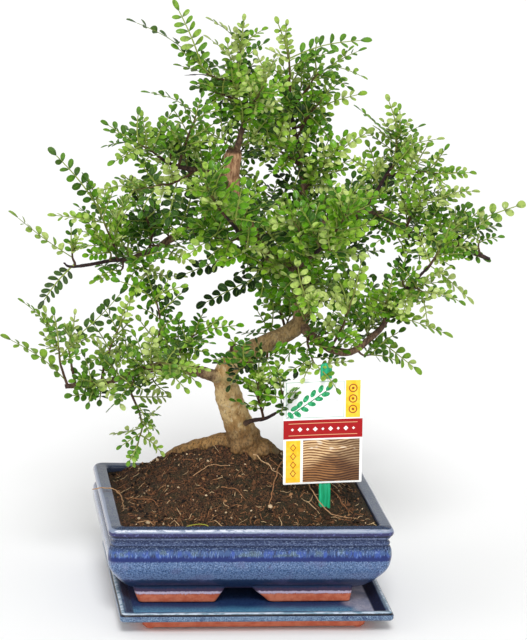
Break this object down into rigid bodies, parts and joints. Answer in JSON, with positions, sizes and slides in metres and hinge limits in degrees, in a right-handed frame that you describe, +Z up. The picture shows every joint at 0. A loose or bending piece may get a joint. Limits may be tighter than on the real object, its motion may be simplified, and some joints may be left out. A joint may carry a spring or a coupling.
{
  "type": "chinese pepper bonsai",
  "caption": "Small bonsai tree with a bent trunk and feathery leaves, planted in a rectangular glazed pot with cloud feet that stands on its matching drip saucer, with a label on a stake.",
  "frame": {"origin": "on the table, under the middle of the whole plant's box; the pot's own centre is 8 mm to the left of it and 12 mm in front of it", "axes": "+Z up the tree; +X along the pot's length, to the right seen from the front; -Y out of the pot's front, the side of the label"},
  "size_m": [0.4004, 0.2218, 0.471],
  "materials": {
    "blue_glaze": "glossy streaked blue glaze over bare terracotta soles",
    "saucer_glaze": "glossy blue glaze over a bare terracotta base",
    "peat": "rough dark peat with fibres",
    "bark": "matte tan bark",
    "leaves": "smooth, slightly glossy green leaves",
    "printed_card": "smooth printed card",
    "green_plastic": "moulded green plastic"
  },
  "bodies": {
    "root": {"saucer": "saucer_glaze", "pot": "blue_glaze", "drain_mesh_1": "green_plastic", "drain_mesh_2": "green_plastic", "soil": "peat", "trunk": "bark", "label_card": "printed_card", "label_stake": "green_plastic", "shoot_apex_left": "leaves", "shoot_apex_top": "leaves", "shoot_apex_crown": "leaves", "shoot_apex_right": "leaves", "shoot_apex_low_right": "leaves", "shoot_apex_front": "leaves", "shoot_apex_side": "leaves", "shoot_upper_left_tip": "leaves", "shoot_upper_left_mid": "leaves", "shoot_left_centre": "leaves", "shoot_far_left_high": "leaves", "shoot_far_left_tip": "leaves", "shoot_mid_left_up": "leaves", "shoot_mid_left_hang": "leaves", "shoot_inner_left": "leaves", "shoot_low_left_tip_a": "leaves", "shoot_low_left_tip_b": "leaves", "shoot_low_left_mid": "leaves", "shoot_low_left_up": "leaves", "shoot_low_left_inner": "leaves", "shoot_low_left_front": "leaves", "shoot_hanging_spray": "leaves", "shoot_centre_hang": "leaves", "shoot_front_left_tip": "leaves", "shoot_front_left_side": "leaves", "shoot_front_right_tip": "leaves", "shoot_front_right_up": "leaves", "shoot_front_mid": "leaves", "shoot_front_low_right": "leaves", "shoot_riser_right": "leaves", "shoot_riser_left": "leaves", "shoot_right_top_tip": "leaves", "shoot_right_top_side": "leaves", "shoot_right_mid_up": "leaves", "shoot_right_tip_up": "leaves", "shoot_right_tip": "leaves", "shoot_low_right_tip": "leaves", "shoot_low_right_a": "leaves", "shoot_low_right_b": "leaves", "shoot_low_right_c": "leaves", "shoot_label_side": "leaves", "shoot_low_twig_up": "leaves", "shoot_low_twig_tip": "leaves", "shoot_bend_leaves": "leaves", "shoot_back_left_tip": "leaves", "shoot_back_right_tip": "leaves", "shoot_back_right_low": "leaves", "shoot_back_top_tip": "leaves", "shoot_low_back_tip": "leaves", "shoot_back_left_mid": "leaves", "shoot_back_centre": "leaves", "shoot_low_back_up": "leaves"}
  },
  "joints": []
}
